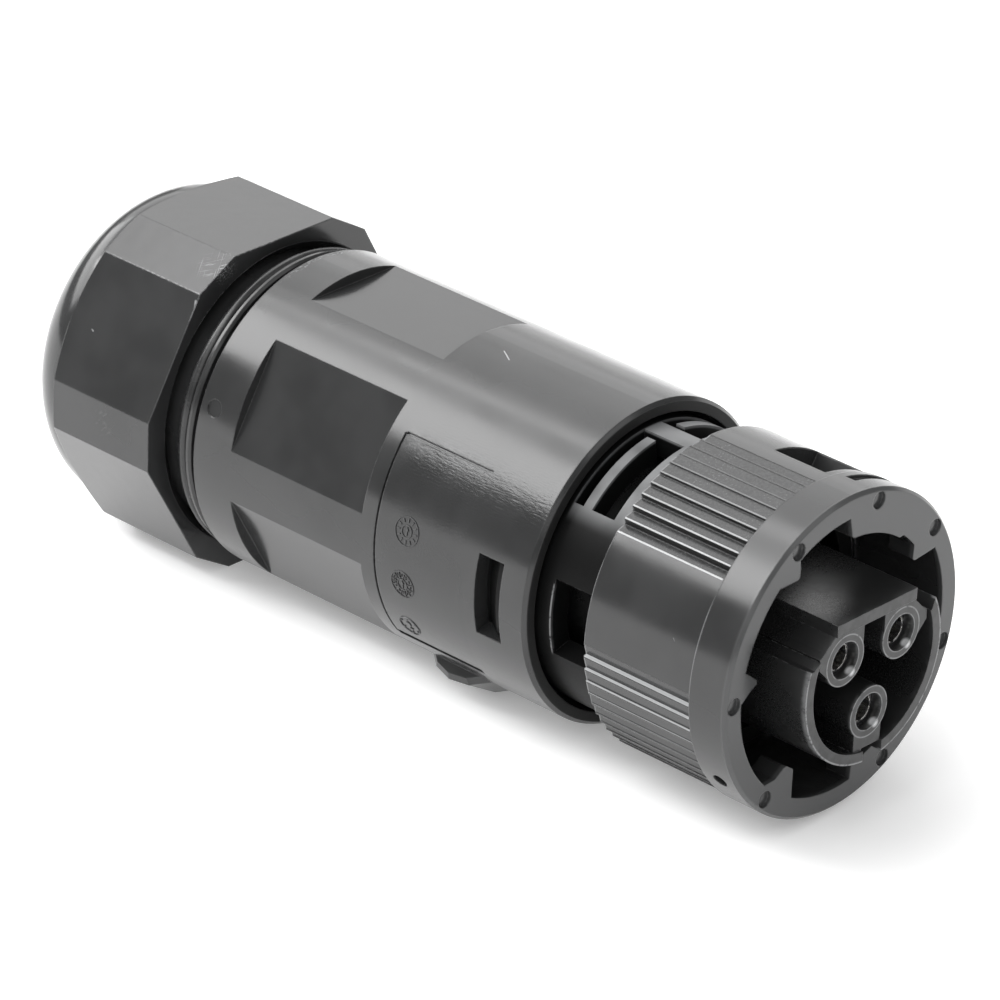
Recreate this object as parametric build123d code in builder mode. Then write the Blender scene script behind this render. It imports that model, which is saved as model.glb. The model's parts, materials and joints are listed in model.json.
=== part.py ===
from build123d import *
import math
import os

# Three-pole AC field connector, cable half, with socket contacts.
# Millimetres. The X axis is the connector's axis and +X points out of the mating face,
# x = 0 is the coupling ring's front face and +Z is up.
# Angles round the axis are counted from the top (+Z) towards -Y.

os.makedirs("parts", exist_ok=True)

# Clearances
running_fit = 0.05
loose_fit = 0.1
end_play = 0.3
seat_gap = 0.05

# Contacts, their springs and their terminal screws
contact_circle = 5.55
contact_angles = (60, 180, -60)
contact_radius = 2.2
contact_step = 1.9
contact_hole = 1.55
contact_hole_depth = 14.0
contact_setback = 1.2
slotted_length = 11.0
contact_slit = 0.5
barrel_radius = 3.6
barrel_length = 13.8
wire_hole = 2.4
wire_hole_depth = 11.0
screw_radius = 1.9
screw_length = 5.0
screw_back = 3.3
screw_bite = 0.6
screw_slot_width = 0.7
screw_slot_depth = 1.0

# Contact tower
tower_proud = 4.5
tube_wall = 0.95
tube_setback = 0.3
tube_clearance = 1.55
tower_wall = 1.34
tower_flat_drop = 3.74
tower_top_wall = 1.5
tower_pocket_depth = 14.5
tower_flange_length = 4.0
tube_web_outside = 1.2
tube_web_inside = 0.2
lower_web_half = 2.3
rim_slot_low = -0.85
rim_slot_high = 2.4
rim_slot_depth = 8.0
rim_slot_past = 0.3
key_notch_side = 6.8
key_notch_drop = 1.55
near_notch_steps = ((1.6, 1.6), (2.9, 2.45), (4.2, -0.9))
far_notch_steps = ((1.6, 1.4), (3.6, 2.8))

# Front housing: neck, journal for the coupling ring and tail inside the body
seal_width = 2.56
seat_step = 0.8
journal_wall = 2.4
journal_length = 9.2
shoulder_height = 1.2
shoulder_depth = 7.4
neck_length = 8.4
tail_length = 16.3
slot_span = (8, 46)
slot_gap = 4.5
front_slot = (2.1, 5.5)
rear_slot_width = 1.4
finger_width = 1.3
side_slot_half = 15.5
side_slot_width = 6.5
latch_angles = (90, -90)
latch_half = 13.5
latch_height = 1.5
latch_lip = 1.0
latch_slit = 1.2
latch_slit_gap = 3
access_hole_radius = 2.7

# Retaining ring and detent spring on the journal
clip_thickness = 0.9
clip_groove_depth = 0.8
clip_front_land = 0.7
clip_gap_angle = 180
clip_gap_half = 11
detent_angle = 20
detent_width = 4.0
detent_half = 9
detent_pocket_depth = 1.1
detent_strip = 0.4
detent_rise = 0.4
detent_notch_half = 8
detent_notch_depth = 0.3

# Coupling ring
chamber_gap = 0.7
ring_wall = 2.7
ring_length = 21.5
ring_edge = 0.4
ring_rear_edge = 0.12
collar_length = 5.35
grip_step = 0.25
lug_length = 3.6
ring_travel = 40
lug_round = 0.45
lug_tip_height = 1.0
ridge_pitch = 5
ridge_half = 0.3
grooves_per_grip = 10
groove_drop = 0.1
grip_starts = (-0.4, 89.6, 179.6, 269.6)
grip_facing = 18
ring_window_back = 14.1
ring_window_length = 7.5
ring_window_span = (-32, -8)
ejector_mark_radius = 1.05
ejector_mark_inset = 1.5
ejector_mark_depth = 0.5
ejector_mark_angles = (29, 89, 139, 207, 255, 306, 346)
lock_recess_span = (-38, -10)
lock_recess_width = 1.4
lock_recess_back = 4.2
lock_recess_depth = 0.5
dot_angle = 123
dot_radius = 0.95
dot_depth = 0.7
stop_lug_angle = -90
stop_lug_half = 4
stop_lug_length = 1.3
stop_lug_height = 0.7

# Seals
housing_ring_section = 0.95
housing_ring_setback = 3.6
interface_seal_length = 2.0
neck_ring_section = 0.7

# Terminal holder
holder_wall = 3.35
holder_flange_length = 4.0
funnel_radius = 3.9
screw_channel = 2.4

# Body sleeve
body_wall = 2.3
body_step = 1.45
body_length = 54.3
body_edge = 0.5
body_mouth_gap = 0.7
body_mouth_depth = 1.4
flat_count = 6
flat_depth = 1.29
flat_length = 21.6
flat_setback = 6.5
thread_drop = 2.15
thread_length = 13.5
thread_pitch = 2.0
gland_wall = 2.6
rear_shoulder_height = 2.6
rear_shoulder_length = 3.0
flange_height = 1.55
flange_length = 1.0
flange_setback = 0.9
flange_edge = 0.3
body_window_half = 14.7
body_window_setback = 4.0
body_window_length = 3.9
panel_span = (49.5, 128.8)
panel_rear_setback = 23.7
panel_front_setback = 10.1
panel_line = 0.3
panel_slot_width = 0.9
panel_slot_depth = 0.7
bump_angle = 150
bump_half = 3.4
bump_height = 1.7
bump_setback = 2.0
bump_rise = 1.6
bump_crest = (4.0, 7.0)
bump_length = 11.0
bump_chamfer = 0.7
rear_dimple_angle = 69.5
rear_dimple_radius = 1.1
rear_dimple_depth = 0.2
rear_dimple_setback = 2.5

# Cable gland: nut, slip ring, cage and seal
nut_sides = 6
nut_wall = 2.75
nut_corner_height = 1.6
nut_length = 22.6
nut_gap = 5.3
nut_corner_length = 16.4
nut_dome_drop = 1.6
nut_dome_length = 1.1
nut_corner_relief = 0.7
nut_dome_bulge = (0.6, 0.35)
nut_end_drop = 2.4
nut_end_wall = 4.4
nut_mouth = 1.35
nut_bore_step = 1.6
nut_hole_step = 5.5
nut_lip = 1.4
nut_lip_length = 2.0
nut_turns_in = 0.5
slip_length = 2.6
slip_bore_step = 0.7
slip_chamfer = 0.6
cage_wall = 1.7
cage_fingers = 10
cage_base_length = 7.0
cage_slit = 1.6
cage_tip_drop = 1.4
cage_tip_thinning = 0.5
cage_tip_length = 6.0
seal_bore = 7.0
seal_lip = 0.7
seal_lips = 3

# Radii, from the contacts outward
tube_radius = contact_radius + seat_gap + tube_wall
contact_bore = contact_radius + seat_gap
tower_radius = contact_circle + tube_radius + tube_clearance + tower_wall
tower_flat_height = tower_radius - tower_flat_drop
journal_bore = tower_radius + seal_width
neck_bore = journal_bore + seat_step
journal_radius = journal_bore + journal_wall
neck_radius = journal_radius + shoulder_height
journal_ring_bore = journal_radius + running_fit
chamber_radius = journal_radius + chamber_gap
ring_radius = chamber_radius + ring_wall
grip_radius = ring_radius - grip_step
holder_radius = contact_circle + barrel_radius + holder_wall
body_joint_radius = neck_radius + running_fit
body_bore = body_joint_radius - body_step
body_mouth_radius = neck_radius + body_mouth_gap
body_radius = body_joint_radius + body_wall
thread_radius = body_radius - thread_drop
flange_radius = thread_radius + flange_height
gland_bore = thread_radius - gland_wall
rear_shoulder_bore = gland_bore - rear_shoulder_height
nut_thread_radius = thread_radius + running_fit
nut_flat_radius = nut_thread_radius + nut_wall
nut_corner_radius = nut_flat_radius + nut_corner_height
nut_end_radius = nut_flat_radius - nut_end_drop
nut_bore_radius = thread_radius - nut_bore_step
cable_hole = nut_bore_radius - nut_hole_step
slip_bore = cable_hole + slip_bore_step

# Angles: a full turn, and the top (+Z) as the YZ plane's sketches count it
full_turn = 360
top_angle = 90

# Places along the axis that follow from the lengths above
shoulder_x = -ring_length - end_play
journal_front_x = shoulder_x + journal_length
clip_front_x = journal_front_x - clip_front_land
clip_rear_x = clip_front_x - clip_thickness
ring_shelf_x = clip_rear_x - end_play
body_front_x = shoulder_x - neck_length
body_rear_x = body_front_x - body_length
tail_rear_x = body_front_x - tail_length
body_step_x = tail_rear_x - end_play
seat_x = journal_front_x - shoulder_depth
flange_rear_x = seat_x - tower_flange_length
pocket_floor_x = tower_proud - tower_pocket_depth
tube_front_x = tower_proud - tube_setback
contact_front_x = tube_front_x - contact_setback
barrel_rear_x = flange_rear_x - barrel_length
screw_x = barrel_rear_x + screw_back
collar_x = -collar_length

flat_rear_x = body_rear_x + flat_setback
window_front_x = body_front_x - body_window_setback
window_rear_x = window_front_x - body_window_length
rear_shoulder_x = body_rear_x + rear_shoulder_length - loose_fit
thread_rear_x = body_rear_x - thread_length
flange_front_x = body_rear_x - flange_setback
flange_back_x = flange_front_x - flange_length
neck_ring_x = flange_back_x - neck_ring_section

nut_front_x = body_rear_x - nut_gap
nut_rear_x = nut_front_x - nut_length
nut_corner_x = nut_front_x - nut_corner_length
nut_shoulder_x = nut_rear_x + nut_end_wall
nut_travel_in = nut_turns_in * thread_pitch
slip_front_x = nut_shoulder_x + slip_length
cage_front_x = rear_shoulder_x - rear_shoulder_length - seat_gap
cage_rear_x = slip_front_x + nut_travel_in + end_play
cage_bend_x = cage_rear_x + cage_tip_length
cage_radius = gland_bore - loose_fit
seal_radius = cage_radius - cage_wall - seat_gap


def at(radius, angle):
    """Point of the YZ plane at a radius and at an angle from the top, counted towards -Y."""
    sketch_angle = math.radians(top_angle + angle)
    return (radius * math.cos(sketch_angle), radius * math.sin(sketch_angle))


def turned(*points, mode=Mode.ADD):
    """Revolves a closed outline of (x, radius) points about the connector's axis."""
    with BuildSketch(Plane.XZ) as outline:
        with BuildLine():
            Polyline(*points, close=True)
        make_face()
    revolve(outline.sketch, axis=Axis.X, mode=mode)


def tube(x_low, x_high, outer, inner, mode=Mode.ADD):
    """Adds or cuts a plain tube between two places on the axis."""
    with BuildSketch(Plane.YZ.offset(x_low)) as section:
        Circle(outer)
        if inner > 0:
            Circle(inner, mode=Mode.SUBTRACT)
    extrude(section.sketch, amount=x_high - x_low, mode=mode)


def sector(inner, outer, start, end):
    """Adds a piece of a ring, between two angles, to the open sketch."""
    with BuildLine() as outline:
        far = CenterArc((0, 0), outer, top_angle + start, end - start)
        near = CenterArc((0, 0), inner, top_angle + start, end - start)
        Line(far @ 0, near @ 0)
        Line(far @ 1, near @ 1)
    make_face(outline.edges())


def sectors(x_low, x_high, inner, outer, spans, mode=Mode.SUBTRACT):
    """Adds or cuts pieces of a ring between two places on the axis."""
    with BuildSketch(Plane.YZ.offset(x_low)) as section:
        for start, end in spans:
            sector(inner, outer, start, end)
    extrude(section.sketch, amount=x_high - x_low, mode=mode)


def radial_plane(x, angle, radius):
    """Plane that touches a cylinder at a place and an angle, with its normal pointing outward."""
    y, z = at(radius, angle)
    ny, nz = at(1, angle)
    return Plane(origin=(x, y, z), x_dir=(1, 0, 0), z_dir=(0, ny, nz))


def lug(*corners):
    """Adds a bayonet lug with (angle, height) corners; equal heights are joined by an arc."""
    root = chamber_radius + ring_edge
    points = [(angle, chamber_radius - height) for angle, height in corners]
    with BuildLine() as outline:
        for (angle_a, radius_a), (angle_b, radius_b) in zip(points, points[1:]):
            if radius_a == radius_b:
                CenterArc((0, 0), radius_a, top_angle + angle_a, angle_b - angle_a)
            else:
                Line(at(radius_a, angle_a), at(radius_b, angle_b))
        first, last = points[0][0], points[-1][0]
        Line(at(points[0][1], first), at(root, first))
        Line(at(points[-1][1], last), at(root, last))
        CenterArc((0, 0), root, top_angle + first, last - first)
    make_face(outline.edges())


def round_tips(sketch):
    """Rounds the corners of the lugs that stand well clear of the chamber's wall."""
    tips = sketch.vertices().filter_by(lambda v: math.hypot(v.X, v.Y) < chamber_radius - lug_tip_height)
    fillet(tips, lug_round)


# Coupling ring
# each corner of a lug is an angle and a height above the chamber's wall
lug_outlines = (
    ((-61.4, 0.1), (-55.3, 3.6), (-49, 2.2), (-38, 2.2), (-36, 2.7), (-1, 2.7), (1, 0.1)),
    ((30, 0.1), (31, 0.9), (34, 2.1), (43, 0.1)),
    ((77, 0.1), (80.5, 2.0), (82.3, 2.7), (85, 1.5), (89.5, 0.1)),
    ((134.5, 0.1), (138.5, 1.3), (140.8, 3.3), (147.5, 3.3), (154, 0.1)),
    ((189, 0.1), (190.5, 1.8), (205, 1.8), (212, 0.1)),
)


def groove(low, high, facing):
    """Adds a finger groove between two ridges to the open sketch.

    Its walls follow the direction the grip faces and its floor lies square to them, just
    below the lower ridge, so the grooves step down round the ring like stairs.
    """
    low_side = grip_radius * math.sin(math.radians(low - facing))
    high_side = grip_radius * math.sin(math.radians(high - facing))
    low_top = grip_radius * math.cos(math.radians(low - facing))
    high_top = grip_radius * math.cos(math.radians(high - facing))
    floor = min(low_top, high_top) - groove_drop
    clear = max(low_top, high_top) + ring_wall
    corners = ((low_side, clear), (low_side, floor), (high_side, floor), (high_side, clear))
    with BuildLine() as outline:
        Polyline(
            *[at(math.hypot(side, top), facing + math.degrees(math.atan2(side, top))) for side, top in corners],
            close=True,
        )
    make_face(outline.edges())


with BuildPart() as coupling_ring:
    turned(
        (0, chamber_radius),
        (0, ring_radius - ring_edge),
        (-ring_edge, ring_radius),
        (collar_x, ring_radius),
        (collar_x, grip_radius),
        (-ring_length + ring_rear_edge, grip_radius),
        (-ring_length, grip_radius - ring_rear_edge),
        (-ring_length, journal_ring_bore),
        (ring_shelf_x, journal_ring_bore),
        (ring_shelf_x, chamber_radius),
    )
    with BuildSketch(Plane.YZ.offset(-lug_length)) as lugs:
        for outline in lug_outlines:
            lug(*outline)
        round_tips(lugs)
    extrude(amount=lug_length)
    # stepped finger grooves between narrow ridges, in four grips
    with BuildSketch(Plane.YZ.offset(-ring_length - 1)):
        for grip_start in grip_starts:
            for index in range(grooves_per_grip):
                ridge = grip_start + index * ridge_pitch
                groove(ridge + ridge_half, ridge + ridge_pitch - ridge_half, grip_start + grip_facing)
    extrude(amount=ring_length + 1 - collar_length, mode=Mode.SUBTRACT)
    # side window
    window_back = -ring_window_back
    window_front = window_back + ring_window_length
    sectors(window_back, window_front, chamber_radius - 1, ring_radius + 1, [ring_window_span])
    # ejector marks on the front face
    with BuildSketch(Plane.YZ.offset(-ejector_mark_depth)):
        for angle in ejector_mark_angles:
            with Locations(at(ring_radius - ejector_mark_inset, angle)):
                Circle(ejector_mark_radius)
    extrude(amount=1, mode=Mode.SUBTRACT)
    # shallow mark and dot on the collar
    recess_back = -lock_recess_back
    recess_front = recess_back + lock_recess_width
    recess_floor = ring_radius - lock_recess_depth
    sectors(recess_back, recess_front, recess_floor, ring_radius + 1, [lock_recess_span])
    with BuildSketch(radial_plane(recess_front, dot_angle, ring_radius - dot_depth)):
        Circle(dot_radius)
    extrude(amount=1, mode=Mode.SUBTRACT)
    # channel of the detent spring, with a deeper notch at each end
    channel_low = shoulder_x + journal_length / 4 - loose_fit
    channel_high = channel_low + detent_width + 2 * loose_fit
    crest_radius = journal_radius + detent_rise
    channel_radius = crest_radius + loose_fit
    notch_radius = channel_radius + detent_notch_depth
    channel_start = detent_angle - ring_travel - detent_notch_half
    channel_end = detent_angle + detent_notch_half
    channel_span = (channel_start, channel_end)
    notch_spans = (
        (channel_start, channel_start + 2 * detent_notch_half),
        (channel_end - 2 * detent_notch_half, channel_end),
    )
    sectors(channel_low, channel_high, journal_radius - 1, channel_radius, [channel_span])
    sectors(channel_low, channel_high, journal_radius - 1, notch_radius, notch_spans)
    # stop lug at the rear
    stop_span = (stop_lug_angle - stop_lug_half, stop_lug_angle + stop_lug_half)
    stop_tip = journal_radius - stop_lug_height
    sectors(-ring_length, -ring_length + stop_lug_length, stop_tip, journal_ring_bore + ring_edge,
            [stop_span], mode=Mode.ADD)
coupling_ring.part.label = "coupling_ring"
export_step(coupling_ring.part, "parts/coupling_ring.step")


# Front housing
latch_front = window_front_x - end_play
latch_rear = window_rear_x + end_play
latch_top = neck_radius + latch_height


def latch(side):
    """Ramped block of a snap latch, standing on the tail at one side."""
    with BuildPart() as piece:
        turned(
            (latch_front, neck_radius - 1),
            (latch_front, latch_top),
            (latch_front - latch_lip, latch_top),
            (latch_rear, neck_radius + running_fit),
            (latch_rear, neck_radius - 1),
        )
        rest = (side + latch_half, side + full_turn - latch_half)
        sectors(latch_rear - 1, latch_front + 1, neck_radius - 2, latch_top + 1, [rest])
    return piece.part


with BuildPart() as front_housing:
    groove_x = tail_rear_x + housing_ring_setback
    groove_floor = body_joint_radius - 2 * (housing_ring_section + seat_gap)
    turned(
        (journal_front_x, journal_bore),
        (journal_front_x, journal_radius - ring_edge),
        (journal_front_x - ring_edge, journal_radius),
        (shoulder_x, journal_radius),
        (shoulder_x, neck_radius),
        (groove_x + housing_ring_section + loose_fit, neck_radius),
        (groove_x + housing_ring_section + loose_fit, groove_floor),
        (groove_x - housing_ring_section - loose_fit, groove_floor),
        (groove_x - housing_ring_section - loose_fit, neck_radius),
        (tail_rear_x + body_edge, neck_radius),
        (tail_rear_x, neck_radius - body_edge),
        (tail_rear_x, neck_bore),
        (seat_x, neck_bore),
        (seat_x, journal_bore),
    )
    # slots on both sides of the top rib; a flexible finger is left between each pair
    slot_front = shoulder_x - front_slot[0]
    finger_front = shoulder_x - front_slot[1]
    finger_rear = finger_front - finger_width
    slot_rear = finger_rear - rear_slot_width
    for side in (1, -1):
        start = side * slot_span[0]
        end = side * slot_span[1]
        root = side * slot_gap
        deep = neck_bore - 1
        far = neck_radius + 1
        sectors(finger_front, slot_front, deep, far, [sorted((root, end))])
        sectors(slot_rear, finger_rear, deep, far, [sorted((root, end))])
        sectors(finger_rear, finger_front, deep, far, [sorted((root, start))])
    # side slots under the coupling ring's rear edge
    side_rear = shoulder_x - side_slot_width
    side_spans = [(side - side_slot_half, side + side_slot_half) for side in latch_angles]
    sectors(side_rear, shoulder_x, neck_bore - 1, neck_radius + 1, side_spans)
    # groove of the retaining ring
    clip_floor = journal_radius - clip_groove_depth
    tube(clip_rear_x - seat_gap, clip_front_x + seat_gap, journal_radius + 1, clip_floor,
         mode=Mode.SUBTRACT)
    # pocket of the detent spring
    pocket_floor = journal_radius - detent_pocket_depth
    pocket_span = (detent_angle - detent_half - 1, detent_angle + detent_half + 1)
    sectors(channel_low, channel_high, pocket_floor, journal_radius + 1, [pocket_span])
    # path of the coupling ring's stop lug
    stop_path = (stop_span[0] - 1, stop_span[1] + ring_travel + 1)
    sectors(shoulder_x, -ring_length + stop_lug_length + end_play, stop_tip - loose_fit,
            journal_radius + 1, [stop_path])
    # screw access holes, later covered by the body sleeve
    for angle in contact_angles:
        with BuildSketch(radial_plane(screw_x, angle, neck_bore - 2)):
            Circle(access_hole_radius)
        extrude(amount=neck_radius, mode=Mode.SUBTRACT)
    # snap latches that click into the body's side windows
    for side in latch_angles:
        add(latch(side))
        slit_spans = [
            (slit - latch_slit, slit + latch_slit)
            for slit in (side - latch_half - latch_slit_gap, side + latch_half + latch_slit_gap)
        ]
        sectors(groove_x + 2 * housing_ring_section, latch_front + 1, neck_bore - 1,
                neck_radius + 1, slit_spans)
front_housing.part.label = "front_housing"
export_step(front_housing.part, "parts/front_housing.step")


# Retaining ring and detent spring on the journal
with BuildPart() as retaining_ring:
    clip_outer = chamber_radius - 2 * loose_fit
    clip_span = (clip_gap_angle + clip_gap_half, clip_gap_angle - clip_gap_half + full_turn)
    sectors(clip_rear_x, clip_front_x, clip_floor + seat_gap, clip_outer, [clip_span], mode=Mode.ADD)
retaining_ring.part.label = "retaining_ring"
export_step(retaining_ring.part, "parts/retaining_ring.step")

with BuildPart() as detent_spring:
    foot_radius = pocket_floor + seat_gap
    with BuildSketch(Plane.YZ.offset(channel_low + loose_fit)):
        with BuildLine():
            upper_left = at(foot_radius + detent_strip, detent_angle - detent_half)
            upper_right = at(foot_radius + detent_strip, detent_angle + detent_half)
            lower_left = at(foot_radius, detent_angle - detent_half)
            lower_right = at(foot_radius, detent_angle + detent_half)
            ThreePointArc(upper_left, at(crest_radius, detent_angle), upper_right)
            ThreePointArc(lower_left, at(crest_radius - detent_strip, detent_angle), lower_right)
            Line(upper_left, lower_left)
            Line(upper_right, lower_right)
        make_face()
    extrude(amount=detent_width)
detent_spring.part.label = "detent_spring"
export_step(detent_spring.part, "parts/detent_spring.step")


# Contact tower
tower_inner = tower_radius - tower_wall
flat_inner = tower_flat_height - tower_top_wall
notch_floor = tower_flat_height - key_notch_drop


def d_shape(radius, flat_height):
    """Adds a circle with a flat top to the open sketch."""
    Circle(radius)
    with Locations((0, flat_height + radius)):
        Rectangle(4 * radius, 2 * radius, mode=Mode.SUBTRACT)


def key_notches():
    """Cuts the stepped key notches out of the tower's two top corners."""
    reach = tower_radius + 1
    for sign, steps in ((1, near_notch_steps), (-1, far_notch_steps)):
        corners = [(sign * (key_notch_side + out), notch_floor - drop) for out, drop in steps]
        last_drop = corners[-1][1]
        with BuildLine() as outline:
            Polyline(
                (sign * key_notch_side, reach),
                (sign * key_notch_side, notch_floor),
                *corners,
                (sign * 2 * reach, last_drop),
                (sign * 2 * reach, reach),
                close=True,
            )
        make_face(outline.edges(), mode=Mode.SUBTRACT)


def contact_tubes():
    """Three contact tubes with their webs to the tower's walls."""
    with BuildPart() as piece:
        with BuildSketch(Plane.YZ.offset(pocket_floor_x)):
            for angle in contact_angles:
                with Locations(at(contact_circle, angle)):
                    Circle(tube_radius)
            tube_y, tube_z = at(contact_circle, contact_angles[-1])
            for side in (1, -1):
                with BuildLine():
                    Polyline(
                        (side * (tube_y - tube_radius + tube_web_inside), tube_z),
                        (side * (tube_y - tube_radius + tube_web_inside), tower_flat_height),
                        (side * (tube_y + tube_radius + tube_web_outside), tower_flat_height),
                        (side * (tube_y + tube_radius + tube_web_outside), tube_z + tube_web_inside),
                        (side * (tube_y + tube_radius - tube_web_inside), tube_z - tube_web_outside),
                        close=True,
                    )
                make_face()
            with Locations((0, -tower_radius)):
                Rectangle(2 * lower_web_half, 2 * (tower_radius - contact_circle))
        extrude(amount=tube_front_x - pocket_floor_x)
        with BuildSketch(Plane.YZ.offset(pocket_floor_x)):
            d_shape(tower_inner + tower_wall / 2, flat_inner + tower_top_wall / 2)
            key_notches()
        extrude(amount=tube_front_x - pocket_floor_x, mode=Mode.INTERSECT)
    return piece.part


with BuildPart() as contact_tower:
    # root with the outline of the tower, open pocket in front of it
    with BuildSketch(Plane.YZ.offset(seat_x)):
        d_shape(tower_radius, tower_flat_height)
        key_notches()
    extrude(amount=tower_proud - seat_x)
    with BuildSketch(Plane.YZ.offset(pocket_floor_x)):
        d_shape(tower_inner, flat_inner)
    extrude(amount=tower_pocket_depth, mode=Mode.SUBTRACT)
    add(contact_tubes())
    # flange that seats in the front housing
    tube(flange_rear_x, seat_x, neck_bore - loose_fit, 0)
    # contact bores
    with BuildSketch(Plane.YZ.offset(flange_rear_x)):
        for angle in contact_angles:
            with Locations(at(contact_circle, angle)):
                Circle(contact_bore)
    extrude(amount=tower_proud - flange_rear_x, mode=Mode.SUBTRACT)
    # keyway in the lower rim
    slot_width = rim_slot_high - rim_slot_low
    with BuildSketch(Plane.YZ.offset(tower_proud - rim_slot_depth)):
        with Locations(((rim_slot_high + rim_slot_low) / 2, -tower_radius)):
            Rectangle(slot_width, 2 * (tower_wall + rim_slot_past))
    extrude(amount=rim_slot_depth, mode=Mode.SUBTRACT)
contact_tower.part.label = "contact_tower"
export_step(contact_tower.part, "parts/contact_tower.step")


# Contacts with spring sleeves and terminal screws
def contact(angle):
    """Socket contact: slotted tube in front, screw barrel behind."""
    y, z = at(contact_circle, angle)
    axis_line = Axis((0, y, z), (1, 0, 0))
    slot_rear_x = contact_front_x - slotted_length
    with BuildPart() as piece:
        with BuildSketch(Plane.XZ.offset(-y)):
            with BuildLine():
                Polyline(
                    (contact_front_x, z),
                    (contact_front_x, z + contact_step - loose_fit),
                    (contact_front_x - loose_fit, z + contact_step),
                    (slot_rear_x, z + contact_step),
                    (slot_rear_x, z + contact_radius),
                    (flange_rear_x - seat_gap, z + contact_radius),
                    (flange_rear_x - seat_gap, z + barrel_radius),
                    (barrel_rear_x + seat_gap, z + barrel_radius),
                    (barrel_rear_x + seat_gap, z),
                    close=True,
                )
            make_face()
        revolve(axis=axis_line)
        with BuildSketch(Plane.YZ.offset(contact_front_x)):
            with Locations((y, z)):
                Circle(contact_hole)
        extrude(amount=-contact_hole_depth, mode=Mode.SUBTRACT)
        with BuildSketch(Plane.YZ.offset(barrel_rear_x)):
            with Locations((y, z)):
                Circle(wire_hole)
        extrude(amount=wire_hole_depth, mode=Mode.SUBTRACT)
        with BuildSketch(Plane.YZ.offset(contact_front_x)):
            with Locations((y, z)):
                Rectangle(3 * contact_step, contact_slit)
                Rectangle(contact_slit, 3 * contact_step)
        extrude(amount=-slotted_length + 1, mode=Mode.SUBTRACT)
        with BuildSketch(radial_plane(screw_x, angle, contact_circle)):
            Circle(screw_radius + running_fit)
        extrude(amount=barrel_radius, mode=Mode.SUBTRACT)
    return piece


def spring_sleeve(angle):
    """Split spring sleeve round the slotted part of a contact."""
    y, z = at(contact_circle, angle)
    with BuildPart() as piece:
        with BuildSketch(Plane.YZ.offset(contact_front_x - slotted_length + end_play)):
            with Locations((y, z)):
                Circle(contact_radius)
                Circle(contact_step + seat_gap, mode=Mode.SUBTRACT)
            with Locations((y, z + contact_radius)):
                Rectangle(contact_slit, contact_radius, mode=Mode.SUBTRACT)
        extrude(amount=slotted_length - 2 * end_play)
    return piece


def terminal_screw(angle):
    """Slotted grub screw that clamps the wire in its barrel."""
    screw_foot = contact_circle + wire_hole - screw_bite
    with BuildPart() as piece:
        with BuildSketch(radial_plane(screw_x, angle, screw_foot)):
            Circle(screw_radius)
        extrude(amount=screw_length)
        chamfer(piece.edges().filter_by(GeomType.CIRCLE), screw_radius / 6)
        slot_floor = screw_foot + screw_length - screw_slot_depth
        with BuildSketch(radial_plane(screw_x, angle, slot_floor)):
            Rectangle(screw_slot_width, 3 * screw_radius)
        extrude(amount=2 * screw_slot_depth, mode=Mode.SUBTRACT)
    return piece


for number, angle in enumerate(contact_angles, start=1):
    for name, make in (
        ("socket_contact", contact),
        ("contact_spring", spring_sleeve),
        ("terminal_screw", terminal_screw),
    ):
        piece = make(angle)
        piece.part.label = f"{name}_{number}"
        export_step(piece.part, f"parts/{name}_{number}.step")


# Terminal holder
with BuildPart() as terminal_holder:
    tube(tail_rear_x, flange_rear_x, holder_radius, 0)
    tube(tail_rear_x, tail_rear_x + holder_flange_length, neck_bore - loose_fit, 0)
    with BuildSketch(Plane.YZ.offset(barrel_rear_x)):
        for angle in contact_angles:
            with Locations(at(contact_circle, angle)):
                Circle(barrel_radius + loose_fit)
    extrude(amount=flange_rear_x - barrel_rear_x, mode=Mode.SUBTRACT)
    with BuildSketch(Plane.YZ.offset(tail_rear_x)):
        for angle in contact_angles:
            with Locations(at(contact_circle, angle)):
                Circle(wire_hole + running_fit)
    extrude(amount=barrel_rear_x - tail_rear_x, mode=Mode.SUBTRACT)
    for angle in contact_angles:
        y, z = at(contact_circle, angle)
        with Locations(Plane(origin=(tail_rear_x, y, z), z_dir=(1, 0, 0))):
            Cone(funnel_radius, wire_hole, 2 * (funnel_radius - wire_hole),
                 align=(Align.CENTER, Align.CENTER, Align.MIN), mode=Mode.SUBTRACT)
        with BuildSketch(radial_plane(screw_x, angle, contact_circle + barrel_radius - 1)):
            Circle(screw_channel)
        extrude(amount=holder_radius, mode=Mode.SUBTRACT)
terminal_holder.part.label = "terminal_holder"
export_step(terminal_holder.part, "parts/terminal_holder.step")


# Seals of the front housing
with BuildPart() as housing_o_ring:
    with BuildSketch(Plane.XZ):
        with Locations((groove_x, groove_floor + seat_gap + housing_ring_section)):
            Circle(housing_ring_section)
    revolve(axis=Axis.X)
housing_o_ring.part.label = "housing_o_ring"
export_step(housing_o_ring.part, "parts/housing_o_ring.step")

with BuildPart() as interface_seal:
    turned(
        (seat_x, tower_radius + seat_gap),
        (seat_x, journal_bore - seat_gap),
        (seat_x + interface_seal_length, journal_bore - seat_gap),
        (seat_x + interface_seal_length / 2, (tower_radius + journal_bore) / 2),
        (seat_x + interface_seal_length, tower_radius + seat_gap),
    )
interface_seal.part.label = "interface_seal"
export_step(interface_seal.part, "parts/interface_seal.step")


# Body sleeve
panel_rear_x = body_front_x - panel_rear_setback
panel_front_x = body_front_x - panel_front_setback


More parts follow.
